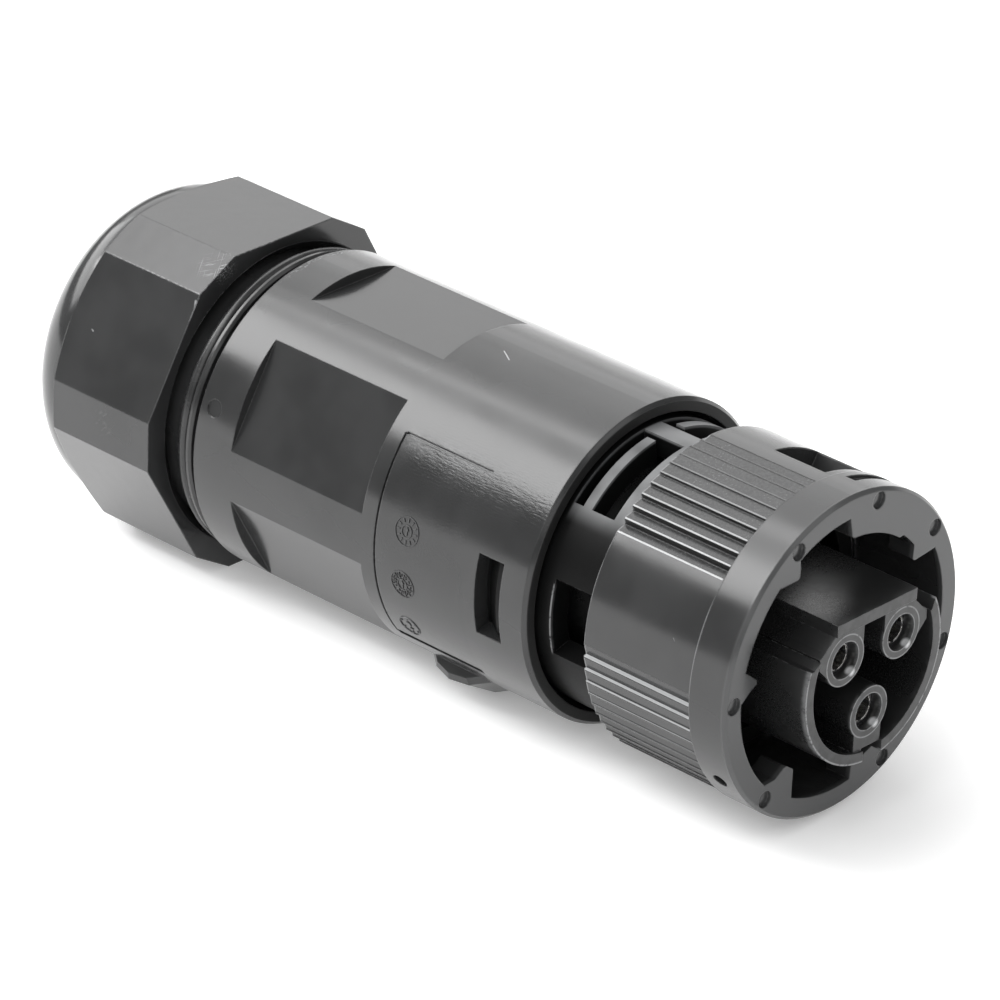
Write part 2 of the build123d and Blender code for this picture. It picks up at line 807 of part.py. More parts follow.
def thumb_pad():
    """Raised pad beside the label panel, steep at the rear and sloping down to the front."""
    bump_top = body_radius + bump_height
    pad_root = body_radius - panel_slot_depth
    pad_rear = panel_rear_x + bump_setback
    crest_rear, crest_front = bump_crest
    with BuildPart() as piece:
        with BuildSketch(Plane.XZ):
            with BuildLine():
                Polyline(
                    (pad_rear, pad_root),
                    (pad_rear + bump_rise, bump_top - bump_chamfer),
                    (pad_rear + crest_rear, bump_top),
                    (pad_rear + crest_front, bump_top - bump_chamfer / 2),
                    (pad_rear + bump_length, pad_root),
                    close=True,
                )
            make_face()
        extrude(amount=bump_half, both=True)
        ends = piece.edges().filter_by(lambda e: abs(e.center().Y) > bump_half - 0.01)
        chamfer(ends.filter_by(lambda e: e.center().Z > body_radius + seat_gap), bump_chamfer)
    return piece.part.rotate(Axis.X, bump_angle)


with BuildPart() as body_sleeve:
    turned(
        (body_front_x, body_mouth_radius),
        (body_front_x, body_radius - body_edge),
        (body_front_x - body_edge, body_radius),
        (body_rear_x + ring_edge, body_radius),
        (body_rear_x, body_radius - ring_edge),
        (body_rear_x, thread_radius),
        (flange_front_x, thread_radius),
        (flange_front_x, flange_radius - flange_edge),
        (flange_front_x - flange_edge, flange_radius),
        (flange_back_x + flange_edge, flange_radius),
        (flange_back_x, flange_radius - flange_edge),
        (flange_back_x, thread_radius),
        (thread_rear_x + body_edge, thread_radius),
        (thread_rear_x, thread_radius - body_edge),
        (thread_rear_x, gland_bore),
        (rear_shoulder_x - rear_shoulder_length, gland_bore),
        (rear_shoulder_x - rear_shoulder_length, rear_shoulder_bore),
        (rear_shoulder_x, rear_shoulder_bore),
        (rear_shoulder_x, body_bore),
        (body_step_x, body_bore),
        (body_step_x, body_joint_radius),
        (body_front_x - body_mouth_depth, body_joint_radius),
    )
    # wrench flats
    flat_height = body_radius - flat_depth
    for index in range(flat_count):
        plane = radial_plane(flat_rear_x, index * full_turn / flat_count, flat_height)
        with BuildSketch(plane):
            Rectangle(flat_length, 2 * body_radius, align=(Align.MIN, Align.CENTER))
        extrude(amount=body_radius, mode=Mode.SUBTRACT)
    # windows of the snap latches
    window_spans = [(side - body_window_half, side + body_window_half) for side in latch_angles]
    sectors(window_rear_x, window_front_x, neck_radius - 1, body_radius + 1, window_spans)
    # outline of the label panel: thin lines above and behind, a wider slot below
    panel_floor = body_radius - panel_line
    sectors(panel_rear_x - panel_line, panel_rear_x, panel_floor, body_radius + 1, [panel_span])
    for angle, width, depth in (
        (panel_span[0], panel_line, panel_line),
        (panel_span[1], panel_slot_width, panel_slot_depth),
    ):
        with BuildSketch(radial_plane(panel_rear_x, angle, body_radius - depth)):
            Rectangle(panel_front_x - panel_rear_x, width, align=(Align.MIN, Align.CENTER))
        extrude(amount=1, mode=Mode.SUBTRACT)
    # raised thumb pad beside the panel
    add(thumb_pad())
    # round dimple on the rear band
    with BuildSketch(
        radial_plane(body_rear_x + rear_dimple_setback, rear_dimple_angle, body_radius - rear_dimple_depth)
    ):
        Circle(rear_dimple_radius)
    extrude(amount=1, mode=Mode.SUBTRACT)
body_sleeve.part.label = "body_sleeve"
export_step(body_sleeve.part, "parts/body_sleeve.step")

with BuildPart() as neck_o_ring:
    with BuildSketch(Plane.XZ):
        with Locations((neck_ring_x - seat_gap, thread_radius + neck_ring_section + seat_gap)):
            Circle(neck_ring_section)
    revolve(axis=Axis.X)
neck_o_ring.part.label = "neck_o_ring"
export_step(neck_o_ring.part, "parts/neck_o_ring.step")


# Cable gland
with BuildPart() as clamp_cage:
    inner = cage_radius - cage_wall
    tip = cage_radius - cage_tip_drop
    turned(
        (cage_front_x, inner - cage_wall),
        (cage_front_x, cage_radius),
        (cage_bend_x, cage_radius),
        (cage_rear_x, tip),
        (cage_rear_x, tip - cage_wall + cage_tip_thinning),
        (cage_bend_x, inner),
        (cage_front_x - cage_wall, inner),
        (cage_front_x - cage_wall, inner - cage_wall),
    )
    with BuildSketch(Plane.YZ.offset(cage_rear_x)):
        with PolarLocations(0, cage_fingers):
            Rectangle(cage_radius + 1, cage_slit, align=(Align.MIN, Align.CENTER))
    extrude(amount=cage_front_x - cage_base_length - cage_rear_x, mode=Mode.SUBTRACT)
clamp_cage.part.label = "clamp_cage"
export_step(clamp_cage.part, "parts/clamp_cage.step")

with BuildPart() as gland_seal:
    seal_front_x = cage_front_x - cage_wall - seat_gap
    seal_rear_x = cage_rear_x + end_play
    seal_tip = seal_radius - cage_tip_drop
    turned(
        (seal_front_x, seal_bore + seal_lip),
        (seal_front_x, seal_radius),
        (cage_bend_x, seal_radius),
        (seal_rear_x, seal_tip),
        (seal_rear_x, seal_bore + seal_lip),
    )
    lip_pitch = (seal_front_x - seal_rear_x) / seal_lips
    for index in range(seal_lips):
        middle = seal_rear_x + (index + 0.5) * lip_pitch
        turned(
            (middle - lip_pitch / 4, seal_bore + seal_lip + loose_fit),
            (middle - lip_pitch / 8, seal_bore),
            (middle + lip_pitch / 8, seal_bore),
            (middle + lip_pitch / 4, seal_bore + seal_lip + loose_fit),
        )
gland_seal.part.label = "gland_seal"
export_step(gland_seal.part, "parts/gland_seal.step")

with BuildPart() as slip_ring:
    slip_radius = nut_bore_radius - end_play
    turned(
        (nut_shoulder_x, slip_bore),
        (nut_shoulder_x, slip_radius),
        (slip_front_x, slip_radius),
        (slip_front_x, slip_radius - slip_chamfer),
        (nut_shoulder_x + slip_chamfer, slip_bore),
    )
slip_ring.part.label = "slip_ring"
export_step(slip_ring.part, "parts/slip_ring.step")

with BuildPart() as gland_nut:
    half_angle = math.degrees(math.acos(nut_flat_radius / nut_corner_radius))
    corners = [
        at(nut_corner_radius, side * full_turn / nut_sides + turn)
        for side in range(nut_sides)
        for turn in (-half_angle, half_angle)
    ]
    with BuildSketch(Plane.YZ.offset(nut_rear_x)):
        with BuildLine():
            Polyline(*corners, close=True)
        make_face()
    extrude(amount=nut_length)
    # the rear is domed: a steep cone at the corners, then a round end
    relief_x = nut_corner_x + nut_corner_relief
    dome_x = nut_corner_x - nut_dome_length
    dome_radius = nut_corner_radius - nut_dome_drop
    far_radius = nut_corner_radius + 1
    bulge_x, bulge_radius = nut_dome_bulge
    with BuildSketch(Plane.XZ):
        with BuildLine():
            Polyline((nut_rear_x, 0), (nut_front_x, 0), (nut_front_x, far_radius), (relief_x, far_radius))
            Line((relief_x, far_radius), (dome_x, dome_radius))
            ThreePointArc(
                (dome_x, dome_radius),
                ((dome_x + nut_rear_x) / 2 - bulge_x, (dome_radius + nut_end_radius) / 2 + bulge_radius),
                (nut_rear_x, nut_end_radius),
            )
            Line((nut_rear_x, nut_end_radius), (nut_rear_x, 0))
        make_face()
    revolve(axis=Axis.X, mode=Mode.INTERSECT)
    # bores: chamfered mouth, threaded length, seat of the slip ring, cable hole with a round lip
    thread_floor_x = thread_rear_x - nut_travel_in - end_play
    turned(
        (nut_front_x, 0),
        (nut_front_x, nut_thread_radius + nut_mouth),
        (nut_front_x - nut_mouth, nut_thread_radius),
        (thread_floor_x, nut_thread_radius),
        (thread_floor_x, nut_bore_radius),
        (nut_shoulder_x, nut_bore_radius),
        (nut_shoulder_x, cable_hole),
        (nut_rear_x + nut_lip_length, cable_hole),
        (nut_rear_x, cable_hole + nut_lip),
        (nut_rear_x, 0),
        mode=Mode.SUBTRACT,
    )
gland_nut.part.label = "gland_nut"
export_step(gland_nut.part, "parts/gland_nut.step")
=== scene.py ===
"""The look of a three-pole AC field connector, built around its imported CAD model."""

import json
import math

import bmesh
import bpy
from mathutils import Matrix, Vector


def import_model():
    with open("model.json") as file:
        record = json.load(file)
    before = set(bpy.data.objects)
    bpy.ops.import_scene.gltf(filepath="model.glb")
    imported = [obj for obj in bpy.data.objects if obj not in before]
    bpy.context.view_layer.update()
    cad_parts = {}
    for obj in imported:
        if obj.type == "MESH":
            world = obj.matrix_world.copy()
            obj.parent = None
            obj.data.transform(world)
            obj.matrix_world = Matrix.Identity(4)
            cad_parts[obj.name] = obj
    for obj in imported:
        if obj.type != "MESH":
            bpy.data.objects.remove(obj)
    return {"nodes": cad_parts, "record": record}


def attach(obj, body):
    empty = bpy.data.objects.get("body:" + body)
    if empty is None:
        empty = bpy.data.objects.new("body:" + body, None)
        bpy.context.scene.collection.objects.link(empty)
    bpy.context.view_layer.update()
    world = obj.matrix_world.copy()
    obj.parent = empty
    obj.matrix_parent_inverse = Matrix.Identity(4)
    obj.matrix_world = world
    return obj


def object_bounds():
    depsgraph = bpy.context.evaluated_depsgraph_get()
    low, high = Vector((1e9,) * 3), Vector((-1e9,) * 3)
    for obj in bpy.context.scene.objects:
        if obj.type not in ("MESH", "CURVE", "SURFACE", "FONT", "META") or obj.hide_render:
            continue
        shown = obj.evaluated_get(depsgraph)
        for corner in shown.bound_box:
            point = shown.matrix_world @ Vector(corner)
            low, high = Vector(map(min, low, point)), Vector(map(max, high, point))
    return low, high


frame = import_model()
cad_box = [list(corner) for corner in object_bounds()]

MM = 0.001

# Camera: a long lens, fitted to the photograph's perspective
CAMERA_PLACE = Vector((370.3, -463.1, 321.7)) * MM
CAMERA_RIGHT = Vector((0.7249, 0.6879, 0.0361))
CAMERA_UP = Vector((-0.3380, 0.3096, 0.8888))
LENS = 216
SENSOR = 36

# Stage
FLOOR_DROP = 0.02 * MM
FLOOR_HALF = 3.0
FLOOR_SHADE = (0.9, 0.9, 0.9, 1)
FLOOR_ROUGH = 0.9
FLOOR_SHINE = 0.1
FLOOR_GLOW = 0.25
WORLD_GLOW = 0.34
WHITE = (1, 1, 1, 1)

# Lights: azimuth from +X towards +Y and height above the floor, angular width and height,
# all in degrees as seen from the middle of the object, and radiance
LIGHT_CENTRE = Vector((-50, 0, 0)) * MM
LIGHT_RANGE = 1.2
LIGHTS = {
    "key": (214, 42, 46, 19, 7.9),
    "key_top": (216, 61, 86, 19, 3.4),
    "left": (178, 43, 24, 18, 1.5),
    "left_low": (188, 24, 50, 18, 4.3),
    "back": (136, 24, 52, 18, 1.7),
    "back_mid": (144, 43, 44, 18, 1.9),
    "back_high": (150, 61, 70, 19, 2.3),
    "back_low": (110, 7, 60, 14, 1.2),
    "front_low": (30, 7, 80, 14, 0.5),
    "front_mid": (20, 43, 44, 18, 1.0),
    "near_low": (308, 24, 56, 20, 0.9),
    "near": (292, 43, 66, 18, 2.2),
    "near_high": (270, 61, 70, 18, 3.7),
}

# Ends of the CAD pieces along the connector's axis, from front to rear
TOWER_FRONT = 4.5 * MM
COLLAR_REAR = -5.35 * MM
RING_REAR = -21.5 * MM
NECK_FRONT = -21.8 * MM
SIDE_SLOT_REAR = -28.3 * MM
BODY_FRONT = -30.2 * MM
BODY_REAR = -84.5 * MM
NUT_FRONT = -89.8 * MM

# Radii of their round sides; the tower has a D-shaped wall round its three contact tubes
RING_OUTSIDE = 18.5 * MM
GRIP_RADIUS = 19.75 * MM
NECK_RADIUS = 17.8 * MM
BODY_RADIUS = 20.15 * MM
WALL_RADIUS = 11.64 * MM
TUBE_RADIUS = 3.2 * MM
BORE_RADIUS = 2.25 * MM

# Middle of each contact tube's front, and the way from there to the painted glint in it, in
# millimetres
TUBE_FRONTS = (Vector((4.2, -4.81, 2.78)), Vector((4.2, 0, -5.55)), Vector((4.2, 4.81, 2.78)))
PAINTED_GLINT_SHIFT = Vector((-0.3, 1.3, -1.95))

# The body's label panel along the axis, then spans and directions round the axis, in degrees
# from the top towards -Y, as are all the angles below
PANEL_X = (-53.9 * MM, -40.3 * MM)
PANEL_ANGLE = (49.5, 128.8)
UPPER_GRIP = (-2, 49.9)
LOWER_GRIP = (89.5, 139)
GRIP_FACING = 18

# Surfaces
PLASTIC_IOR = 1.52
NECK_SHINE = 0.1
EDGE_SAMPLES = 4
SCRATCH_DEPTH = 0.015 * MM

# Places of the sockets of a mix node that holds colours
MIX_MASK, MIX_FIRST, MIX_SECOND, MIX_RESULT = 0, 6, 7, 2


def camera():
    """The photograph's camera."""
    data = bpy.data.cameras.new("camera")
    data.lens = LENS
    data.sensor_width = SENSOR
    data.clip_start = 0.01
    data.clip_end = 20
    piece = bpy.data.objects.new("camera", data)
    back = CAMERA_RIGHT.cross(CAMERA_UP)
    turn = Matrix((CAMERA_RIGHT, CAMERA_UP, back)).transposed()
    piece.matrix_world = Matrix.Translation(CAMERA_PLACE) @ turn.to_4x4()
    bpy.context.collection.objects.link(piece)
    bpy.context.scene.camera = piece


def softbox(name, azimuth, elevation, wide, high, radiance):
    """Rectangular light on a sphere round the object, sized and placed in degrees."""
    az, el = math.radians(azimuth), math.radians(elevation)
    away = Vector((math.cos(el) * math.cos(az), math.cos(el) * math.sin(az), math.sin(el)))
    data = bpy.data.lights.new(name, "AREA")
    data.shape = "RECTANGLE"
    data.size = 2 * LIGHT_RANGE * math.tan(math.radians(wide / 2)) * math.cos(el)
    data.size_y = 2 * LIGHT_RANGE * math.tan(math.radians(high / 2))
    data.energy = radiance * math.pi * data.size * data.size_y
    light = bpy.data.objects.new(name, data)
    light.location = LIGHT_CENTRE + away * LIGHT_RANGE
    light.rotation_mode = "QUATERNION"
    light.rotation_quaternion = (-away).to_track_quat("-Z", "Y")
    light.visible_camera = False
    bpy.context.collection.objects.link(light)


def world():
    """Even dim surroundings."""
    surroundings = bpy.data.worlds.new("studio")
    surroundings.use_nodes = True
    ground = surroundings.node_tree.nodes["Background"]
    ground.inputs["Color"].default_value = WHITE
    ground.inputs["Strength"].default_value = WORLD_GLOW
    bpy.context.scene.world = surroundings


def floor():
    """Large plain pale floor under the object, faintly lit from below like a light table."""
    low = cad_box[0][2] - FLOOR_DROP
    half = FLOOR_HALF
    corners = [(-half, -half, low), (half, -half, low), (half, half, low), (-half, half, low)]
    mesh = bpy.data.meshes.new("floor")
    mesh.from_pydata(corners, [], [(0, 1, 2, 3)])
    piece = bpy.data.objects.new("floor", mesh)
    bpy.context.collection.objects.link(piece)
    material = bpy.data.materials.new("floor_white")
    material.use_nodes = True
    shader = material.node_tree.nodes["Principled BSDF"]
    shader.inputs["Base Color"].default_value = FLOOR_SHADE
    shader.inputs["Roughness"].default_value = FLOOR_ROUGH
    shader.inputs["Specular IOR Level"].default_value = FLOOR_SHINE
    shader.inputs["Emission Color"].default_value = WHITE
    shader.inputs["Emission Strength"].default_value = FLOOR_GLOW
    mesh.materials.append(material)


class Finish:
    """One procedural material. Layers are added to its colour, its roughness and its relief.

    A mask is a number from 0 to 1 over the surface, and says where a layer lies.
    """

    def __init__(self, name, colour, rough, edge=None):
        self.material = bpy.data.materials.new(name)
        self.material.use_nodes = True
        self.tree = self.material.node_tree
        self.shader = self.tree.nodes["Principled BSDF"]
        where = self.add("ShaderNodeTexCoord")
        self.place = where.outputs["Object"]
        self.lie = where.outputs["Normal"]
        self.colour = colour
        self.rough = rough
        self.normal = None
        self.edge = None
        if edge:
            self.round_edges(edge)

    def add(self, kind, **settings):
        """Adds a node with its settings."""
        node = self.tree.nodes.new(kind)
        for key, value in settings.items():
            setattr(node, key, value)
        return node

    def feed(self, socket, value):
        """Sets a socket to a number, vector or colour, or links it to another node."""
        if isinstance(value, bpy.types.NodeSocket):
            self.tree.links.new(value, socket)
        elif isinstance(value, tuple) and len(socket.default_value) == 4:
            socket.default_value = (*value, 1)
        else:
            socket.default_value = value

    def math(self, operation, first, second, clamp=False):
        """Result of an operation on two numbers."""
        node = self.add("ShaderNodeMath", operation=operation, use_clamp=clamp)
        self.feed(node.inputs[0], first)
        self.feed(node.inputs[1], second)
        return node.outputs["Value"]

    def vector(self, operation, first, second=None, result="Value"):
        """Result of an operation on one or two vectors, as a number or as a vector."""
        node = self.add("ShaderNodeVectorMath", operation=operation)
        self.feed(node.inputs[0], first)
        if second is not None:
            self.feed(node.inputs[1], second)
        return node.outputs[result]

    def both(self, *masks):
        """Product of masks and numbers."""
        result = masks[0]
        for mask in masks[1:]:
            result = self.math("MULTIPLY", result, mask)
        return result

    def rise(self, value, low, high):
        """Mask that goes from 0 to 1 as a value goes from low to high."""
        node = self.add("ShaderNodeMapRange", interpolation_type="SMOOTHSTEP")
        self.feed(node.inputs["Value"], value)
        node.inputs["From Min"].default_value = low
        node.inputs["From Max"].default_value = high
        return node.outputs["Result"]

    def band(self, value, low, high, soft):
        """Mask that is 1 between two values, with soft sides."""
        start = self.rise(value, low - soft, low + soft)
        end = self.rise(value, high + soft, high - soft)
        return self.both(start, end)

    def dot(self, vector, direction):
        """Length of a vector along a direction."""
        return self.vector("DOT_PRODUCT", vector, direction)

    def noise(self, size, detail=3.0, rough=0.5, along=None, long=1.0):
        """Noise with features of about one size, drawn out long times in a direction."""
        node = self.add("ShaderNodeTexNoise")
        node.inputs["Detail"].default_value = detail
        node.inputs["Roughness"].default_value = rough
        if along:
            first = Vector(along).normalized()
            second = first.orthogonal().normalized()
            third = first.cross(second)
            join = self.add("ShaderNodeCombineXYZ")
            for socket, axis in zip(join.inputs, (first / long, second, third)):
                self.feed(socket, self.dot(self.place, axis / size))
            self.feed(node.inputs["Vector"], join.outputs["Vector"])
            node.inputs["Scale"].default_value = 1.0
        else:
            self.feed(node.inputs["Vector"], self.place)
            node.inputs["Scale"].default_value = 1 / size
        return node.outputs["Fac"]

    def patches(self, size, low, high, detail=3, rough=0.5):
        """Ragged patches of about one size: noise that is cut between two levels."""
        return self.rise(self.noise(size, detail, rough), low, high)

    def split(self):
        """X, Y and Z of the place on the surface."""
        node = self.add("ShaderNodeSeparateXYZ")
        self.feed(node.inputs[0], self.place)
        return node.outputs

    def axial(self):
        """Place along the connector's axis."""
        return self.split()["X"]

    def angle(self):
        """Angle round the connector's axis, from the top towards -Y, in degrees."""
        parts = self.split()
        turn = self.math("ARCTAN2", self.math("MULTIPLY", parts["Y"], -1.0), parts["Z"])
        return self.math("MULTIPLY", turn, math.degrees(1))

    def facing(self, angle):
        """How far the surface faces an angle round the connector's axis, from -1 to 1."""
        turn = math.radians(angle)
        return self.dot(self.lie, (0, -math.sin(turn), math.cos(turn)))

    def radius(self):
        """Distance from the connector's axis."""
        return self.vector("LENGTH", self.vector("MULTIPLY", self.place, (0, 1, 1), "Vector"))

    def distance(self, place):
        """Distance from a place given in millimetres."""
        return self.vector("DISTANCE", self.place, Vector(place) * MM)

    def spot(self, place, radius, soft):
        """Mask that is 1 round a place, all in millimetres; soft is the share that fades."""
        return self.rise(self.distance(place), radius * MM, radius * (1 - soft) * MM)

    def line(self, start, end, width):
        """Mask along a straight mark between two places, all in millimetres."""
        first, last = Vector(start) * MM, Vector(end) * MM
        way = (last - first).normalized()
        away = self.vector("SUBTRACT", self.place, first, "Vector")
        gap = self.vector("LENGTH", self.vector("CROSS_PRODUCT", away, way, "Vector"))
        along = self.band(self.dot(away, way), 0, (last - first).length, 0.1 * MM)
        return self.both(self.rise(gap, width * MM, width * 0.4 * MM), along)

    def round_edges(self, radius):
        """Rounds the edges' light, and keeps a mask that is over 0 on an edge."""
        bevel = self.add("ShaderNodeBevel", samples=EDGE_SAMPLES)
        bevel.inputs["Radius"].default_value = radius
        true = self.add("ShaderNodeNewGeometry")
        likeness = self.dot(bevel.outputs["Normal"], true.outputs["Normal"])
        self.edge = self.math("SUBTRACT", 1.0, likeness, clamp=True)
        self.normal = bevel.outputs["Normal"]

    def tint(self, mask, colour, amount=1.0):
        """Covers the colour with another one inside a mask."""
        node = self.add("ShaderNodeMix", data_type="RGBA")
        self.feed(node.inputs[MIX_MASK], mask if amount == 1.0 else self.both(mask, amount))
        self.feed(node.inputs[MIX_FIRST], self.colour)
        self.feed(node.inputs[MIX_SECOND], colour)
        self.colour = node.outputs[MIX_RESULT]

    def dull(self, mask, amount):
        """Makes the surface rougher inside a mask, or smoother by an amount below 0."""
        self.rough = self.math("ADD", self.rough, self.both(mask, amount), clamp=True)

    def raise_by(self, height, distance, sunk=False):
        """Adds relief; height is 0 to 1 and distance its full size."""
        node = self.add("ShaderNodeBump", invert=sunk)
        node.inputs["Distance"].default_value = distance
        self.feed(node.inputs["Height"], height)
        if self.normal:
            self.feed(node.inputs["Normal"], self.normal)
        self.normal = node.outputs["Normal"]

    def mark(self, mask, colour, dulling, depth):
        """Pale, dull, shallow damage."""
        self.tint(mask, colour)
        self.dull(mask, dulling)
        self.raise_by(mask, depth, sunk=True)

    def done(self):
        """Joins the layers to the shader."""
        self.feed(self.shader.inputs["Base Color"], self.colour)
        self.feed(self.shader.inputs["Roughness"], self.rough)
        if self.normal:
            self.feed(self.shader.inputs["Normal"], self.normal)
        return self.material


def neutral(level):
    """Very slightly cool black or grey."""
    return (level * 0.985, level, level * 1.015)


def moulded(name, level, rough, edge, relief, wear, grain=0.16 * MM, worn_level=0.14, peel=0.0):
    """Black moulded plastic: cloudy gloss, grain, slight waviness and worn edges."""
    f = Finish(name, neutral(level), rough, edge)
    cloud = f.noise(9 * MM, 2)
    fine = f.noise(grain, 1, 0.6)
    f.tint(f.rise(cloud, 0.35, 0.68), neutral(level * 1.3))
    f.dull(f.rise(cloud, 0.35, 0.65), 0.04)
    f.dull(f.rise(fine, 0.35, 0.65), 0.03)
    f.raise_by(fine, relief)
    if peel:
        f.raise_by(f.noise(2.2 * MM, 1), peel)
    rubbed = f.patches(0.8 * MM, 0.45, 0.62, rough=0.7)
    worn = f.both(f.rise(f.edge, 0.03, 0.3), rubbed, wear)
    f.tint(worn, neutral(worn_level))
    f.dull(worn, 0.08)
    f.shader.inputs["IOR"].default_value = PLASTIC_IOR
    return f


def scratches(f, mask, along, size, long, cut, level):
    """Fine straight scratches inside a mask."""
    lines = f.rise(f.noise(size, 1, 0.5, along, long), cut, cut + 0.04)
    f.mark(f.both(mask, lines, 0.8), neutral(level), 0.12, SCRATCH_DEPTH)


def nut_plastic():
    """Glossy black with crossed handling scratches near the front and a worn corner."""
    f = moulded(
        "nut_finish", level=0.021, rough=0.13, edge=0.28 * MM,
        grain=0.3 * MM, relief=0.002 * MM, wear=0.6, peel=0.010 * MM,
    )
    x, angle = f.axial(), f.angle()
    top = f.spot((-91.0, -10.0, 19.9), 3.0, soft=0.8)
    side = f.spot((-97.5, -23.0, 0.6), 2.6, soft=0.8)
    scratches(f, top, (0.5, -0.9, -0.5), size=0.12 * MM, long=40, cut=0.62, level=0.32)
    scratches(f, top, (0.8, 0.6, 0.3), size=0.12 * MM, long=34, cut=0.63, level=0.28)
    scratches(f, side, (0.9, 0.2, 0.6), size=0.2 * MM, long=9, cut=0.62, level=0.06)
    # the corner between the top flat and the near one
    corner = f.both(
        f.rise(f.edge, 0.004, 0.03),
        f.band(angle, 32, 44, 2),
        f.band(x, NUT_FRONT - 14.7 * MM, NUT_FRONT + 0.3 * MM, 1.5 * MM),
        f.patches(0.6 * MM, 0.44, 0.58, rough=0.7),
    )
    f.tint(corner, neutral(0.16), 0.8)
    # the front edge, chipped at the top
    front_edge = f.both(
        f.rise(f.edge, 0.01, 0.06),
        f.rise(x, NUT_FRONT - 1.2 * MM, NUT_FRONT - 0.4 * MM),
    )
    f.tint(front_edge, neutral(0.10), 0.5)
    chipped = f.both(
        front_edge,
        f.band(angle, 2, 46, 6),
        f.patches(0.5 * MM, 0.40, 0.56, detail=4, rough=0.7),
    )
    f.tint(chipped, neutral(0.3))
    nick = f.line((-90.1, -14.3, 16.9), (-89.9, -14.9, 16.2), 0.22)
    f.mark(nick, neutral(0.2), 0.1, 0.03 * MM)
    scratch = f.line((-103.6, -18.5, 9.7), (-103.2, -18.5, 9.5), 0.12)
    f.mark(scratch, neutral(0.12), 0.1, 0.02 * MM)
    return f.done()


def body_plastic():
    """Glossy black, with sandy grain and short flow streaks round the panel's upper edge."""
    f = moulded(
        "body_finish", level=0.019, rough=0.15, edge=0.2 * MM,
        grain=0.2 * MM, relief=0.003 * MM, wear=0.35, peel=0.005 * MM,
    )
    x, angle = f.axial(), f.angle()
    panel_rear, panel_front = PANEL_X
    panel_top, panel_bottom = PANEL_ANGLE
    panel = f.both(
        f.band(x, panel_rear, panel_front, 0.4 * MM),
        f.band(angle, panel_top - 3, panel_bottom, 3.0),
    )
    border = f.both(
        f.band(angle, panel_top - 7.5, panel_top + 14.5, 7),
        f.rise(x, panel_rear + 0.4 * MM, panel_rear + 3.9 * MM),
    )
    streaks = f.noise(0.24 * MM, 2, 0.6, along=(1, 0, 0), long=5)
    f.raise_by(f.both(streaks, border), 0.022 * MM)
    f.raise_by(f.both(f.noise(0.26 * MM, 2, 0.65), panel), 0.014 * MM)
    f.dull(panel, 0.02)
    # pale ragged patches along the panel's upper lip: partly worn frosting, partly painted
    # highlight
    lip = f.both(
        panel,
        f.band(angle, panel_top - 1, panel_top + 4, 4),
        f.patches(1.6 * MM, 0.36, 0.66, rough=0.7),
    )
    f.tint(lip, neutral(0.12), 0.45)
    # painted shadow: the front rim is darkened and dulled, as it lies in shadow
    rim = f.rise(x, BODY_FRONT - 0.12 * MM, BODY_FRONT - 0.02 * MM)
    f.tint(rim, neutral(0.002))
    f.dull(rim, 0.5)
    rear_rim = f.both(
        f.band(x, BODY_REAR + 0.05 * MM, BODY_REAR + 1.3 * MM, 0.2 * MM),
        f.band(angle, -40, 14, 8),
    )
    scratches(f, rear_rim, (0.1, 1, 0.1), size=0.2 * MM, long=4, cut=0.60, level=0.16)
    scratch = f.line((-51.6, -2.0, 20.05), (-49.7, -3.1, 19.9), 0.10)
    f.mark(scratch, neutral(0.32), 0.1, 0.03 * MM)
    return f.done()


def neck_plastic():
    """Very dark matt housing, partly painted shade, with frames round its top slots paled by frost
    and by a painted highlight.
    """
    # painted shade: the base colour is made very dark, partly its own darker moulding, partly the
    # shade between body and ring
    f = moulded(
        "neck_finish", level=0.004, rough=0.40, edge=0.10 * MM,
        grain=0.2 * MM, relief=0.006 * MM, wear=0.9, worn_level=0.12,
    )
    f.shader.inputs["Specular IOR Level"].default_value = NECK_SHINE
    x, angle = f.axial(), f.angle()
    outside = f.rise(f.radius(), NECK_RADIUS - 0.45 * MM, NECK_RADIUS - 0.15 * MM)
    # pale frames round the top slots: partly frost, partly painted highlight where the top faces
    # the light
    frost_and_painted_highlight = f.both(
        outside,
        f.band(angle, -48, 48, 6),
        f.band(x, BODY_FRONT + 0.2 * MM, NECK_FRONT - 0.1 * MM, 0.2 * MM),
        f.patches(4 * MM, -0.1, 0.6, detail=1),
    )
    f.tint(frost_and_painted_highlight, neutral(0.20), 0.9)
    # painted highlight: a ragged pale line along the near side slot's rear edge
    ragged = f.both(
        outside,
        f.band(angle, 77, 105, 2),
        f.band(x, SIDE_SLOT_REAR - 0.25 * MM, SIDE_SLOT_REAR - 0.02 * MM, 0.07 * MM),
        f.patches(0.9 * MM, 0.36, 0.5, rough=0.7),
    )
    f.tint(ragged, neutral(0.17))
    return f.done()


